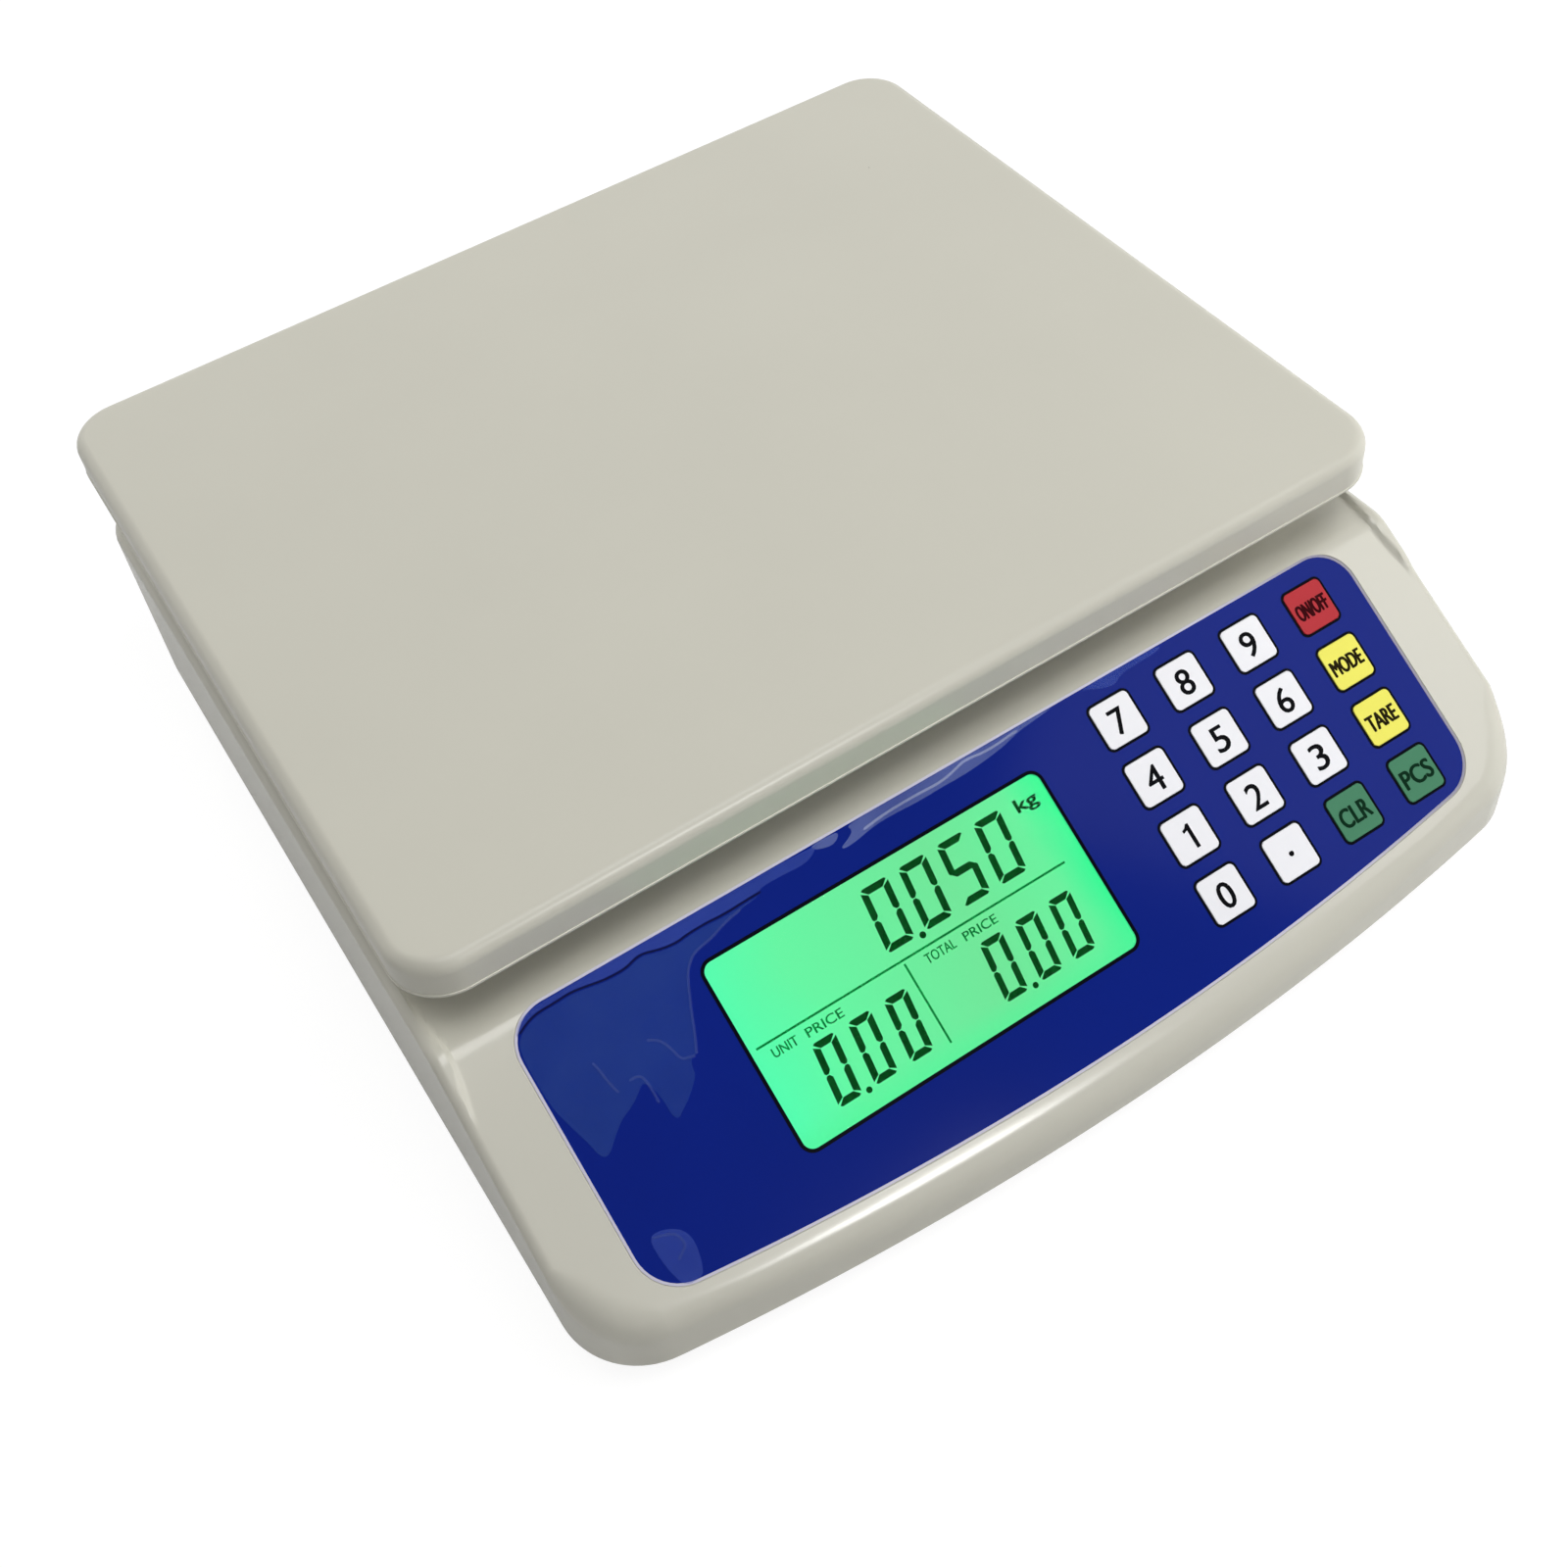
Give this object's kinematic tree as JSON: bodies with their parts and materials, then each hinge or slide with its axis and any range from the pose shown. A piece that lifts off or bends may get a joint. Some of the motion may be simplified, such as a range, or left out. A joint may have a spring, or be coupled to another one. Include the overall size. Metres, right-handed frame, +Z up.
{
  "type": "counting scale",
  "caption": "Bench counting scale with a flat platform on a low casing, a sloping front panel with a green display and a square-key pad.",
  "frame": {"origin": "on the ground plane under the middle of the scale's outline", "axes": "+Z up; +Y from the user's side towards the back; +X to the user's right"},
  "size_m": [0.222, 0.2373, 0.07],
  "materials": {
    "casing_plastic": "satin ivory moulding",
    "overlay_film": "glossy navy printed film",
    "clear_window": "clear glossy window",
    "lcd_glass": "green lit display",
    "backlight": "milky diffuser",
    "circuit_board": "green laminate",
    "silicone": "matte grey",
    "zinc_steel": "zinc plated",
    "aluminium": "milled",
    "support_metal": "cast",
    "rubber": "matte black",
    "battery_case": "shrink sleeve",
    "buzzer_plastic": "black",
    "socket_plastic": "black",
    "key_white": "printed film",
    "key_red": "printed film",
    "key_yellow": "printed film",
    "key_green": "printed film"
  },
  "bodies": {
    "housing": {"upper_casing": "casing_plastic", "lower_casing": "casing_plastic", "battery_cover": "casing_plastic", "graphic_overlay": "overlay_film", "display_window": "clear_window", "lcd_glass": "lcd_glass", "backlight": "backlight", "main_board": "circuit_board", "dome_mat": "silicone", "buzzer": "buzzer_plastic", "battery": "battery_case", "power_socket": "socket_plastic", "socket_pin": "zinc_steel", "load_cell": "aluminium", "cell_base_block": "zinc_steel", "cell_base_bolt_1": "zinc_steel", "cell_base_bolt_2": "zinc_steel", "foot_1": "rubber", "foot_2": "rubber", "foot_3": "rubber", "foot_4": "rubber", "board_screw_1": "zinc_steel", "case_screw_1": "zinc_steel", "board_screw_2": "zinc_steel", "case_screw_2": "zinc_steel", "board_screw_3": "zinc_steel", "case_screw_3": "zinc_steel", "board_screw_4": "zinc_steel", "case_screw_4": "zinc_steel", "board_screw_5": "zinc_steel", "case_screw_5": "zinc_steel", "board_screw_6": "zinc_steel", "case_screw_6": "zinc_steel", "cover_screw_1": "zinc_steel", "cover_screw_2": "zinc_steel"},
    "weigh_support": {"platform_support": "support_metal", "cell_top_block": "zinc_steel", "cell_top_bolt_1": "zinc_steel", "cell_top_bolt_2": "zinc_steel"},
    "platform": {"platform": "casing_plastic", "platform_pad_1": "rubber", "platform_pad_2": "rubber", "platform_pad_3": "rubber", "platform_pad_4": "rubber"},
    "key_7": {"key_7": "key_white"},
    "key_8": {"key_8": "key_white"},
    "key_9": {"key_9": "key_white"},
    "key_on_off": {"key_on_off": "key_red"},
    "key_4": {"key_4": "key_white"},
    "key_5": {"key_5": "key_white"},
    "key_6": {"key_6": "key_white"},
    "key_mode": {"key_mode": "key_yellow"},
    "key_1": {"key_1": "key_white"},
    "key_2": {"key_2": "key_white"},
    "key_3": {"key_3": "key_white"},
    "key_tare": {"key_tare": "key_yellow"},
    "key_0": {"key_0": "key_white"},
    "key_point": {"key_point": "key_white"},
    "key_clear": {"key_clear": "key_green"},
    "key_pieces": {"key_pieces": "key_green"}
  },
  "joints": [
    {"name": "load_cell_flex", "type": "slide", "parent": "housing", "child": "weigh_support", "axis": [0, 0, -1], "range_m": [0, 0.0003], "stiffness_N_per_m": 8000, "springref_m": -0.0008},
    {"name": "platform_lift", "type": "slide", "parent": "weigh_support", "child": "platform", "axis": [0, 0, 1], "range_m": [0, 0.03]},
    {"name": "key_7_press", "type": "slide", "parent": "housing", "child": "key_7", "axis": [0, 0.5015, -0.8652], "range_m": [0, 0.0004], "stiffness_N_per_m": 100, "springref_m": -0.0006},
    {"name": "key_8_press", "type": "slide", "parent": "housing", "child": "key_8", "axis": [0, 0.5015, -0.8652], "range_m": [0, 0.0004], "stiffness_N_per_m": 100, "springref_m": -0.0006},
    {"name": "key_9_press", "type": "slide", "parent": "housing", "child": "key_9", "axis": [0, 0.5015, -0.8652], "range_m": [0, 0.0004], "stiffness_N_per_m": 100, "springref_m": -0.0006},
    {"name": "key_on_off_press", "type": "slide", "parent": "housing", "child": "key_on_off", "axis": [0, 0.5015, -0.8652], "range_m": [0, 0.0004], "stiffness_N_per_m": 100, "springref_m": -0.0006},
    {"name": "key_4_press", "type": "slide", "parent": "housing", "child": "key_4", "axis": [0, 0.5015, -0.8652], "range_m": [0, 0.0004], "stiffness_N_per_m": 100, "springref_m": -0.0006},
    {"name": "key_5_press", "type": "slide", "parent": "housing", "child": "key_5", "axis": [0, 0.5015, -0.8652], "range_m": [0, 0.0004], "stiffness_N_per_m": 100, "springref_m": -0.0006},
    {"name": "key_6_press", "type": "slide", "parent": "housing", "child": "key_6", "axis": [0, 0.5015, -0.8652], "range_m": [0, 0.0004], "stiffness_N_per_m": 100, "springref_m": -0.0006},
    {"name": "key_mode_press", "type": "slide", "parent": "housing", "child": "key_mode", "axis": [0, 0.5015, -0.8652], "range_m": [0, 0.0004], "stiffness_N_per_m": 100, "springref_m": -0.0006},
    {"name": "key_1_press", "type": "slide", "parent": "housing", "child": "key_1", "axis": [0, 0.5015, -0.8652], "range_m": [0, 0.0004], "stiffness_N_per_m": 100, "springref_m": -0.0006},
    {"name": "key_2_press", "type": "slide", "parent": "housing", "child": "key_2", "axis": [0, 0.5015, -0.8652], "range_m": [0, 0.0004], "stiffness_N_per_m": 100, "springref_m": -0.0006},
    {"name": "key_3_press", "type": "slide", "parent": "housing", "child": "key_3", "axis": [0, 0.5015, -0.8652], "range_m": [0, 0.0004], "stiffness_N_per_m": 100, "springref_m": -0.0006},
    {"name": "key_tare_press", "type": "slide", "parent": "housing", "child": "key_tare", "axis": [0, 0.5015, -0.8652], "range_m": [0, 0.0004], "stiffness_N_per_m": 100, "springref_m": -0.0006},
    {"name": "key_0_press", "type": "slide", "parent": "housing", "child": "key_0", "axis": [0, 0.5015, -0.8652], "range_m": [0, 0.0004], "stiffness_N_per_m": 100, "springref_m": -0.0006},
    {"name": "key_point_press", "type": "slide", "parent": "housing", "child": "key_point", "axis": [0, 0.5015, -0.8652], "range_m": [0, 0.0004], "stiffness_N_per_m": 100, "springref_m": -0.0006},
    {"name": "key_clear_press", "type": "slide", "parent": "housing", "child": "key_clear", "axis": [0, 0.5015, -0.8652], "range_m": [0, 0.0004], "stiffness_N_per_m": 100, "springref_m": -0.0006},
    {"name": "key_pieces_press", "type": "slide", "parent": "housing", "child": "key_pieces", "axis": [0, 0.5015, -0.8652], "range_m": [0, 0.0004], "stiffness_N_per_m": 100, "springref_m": -0.0006}
  ]
}
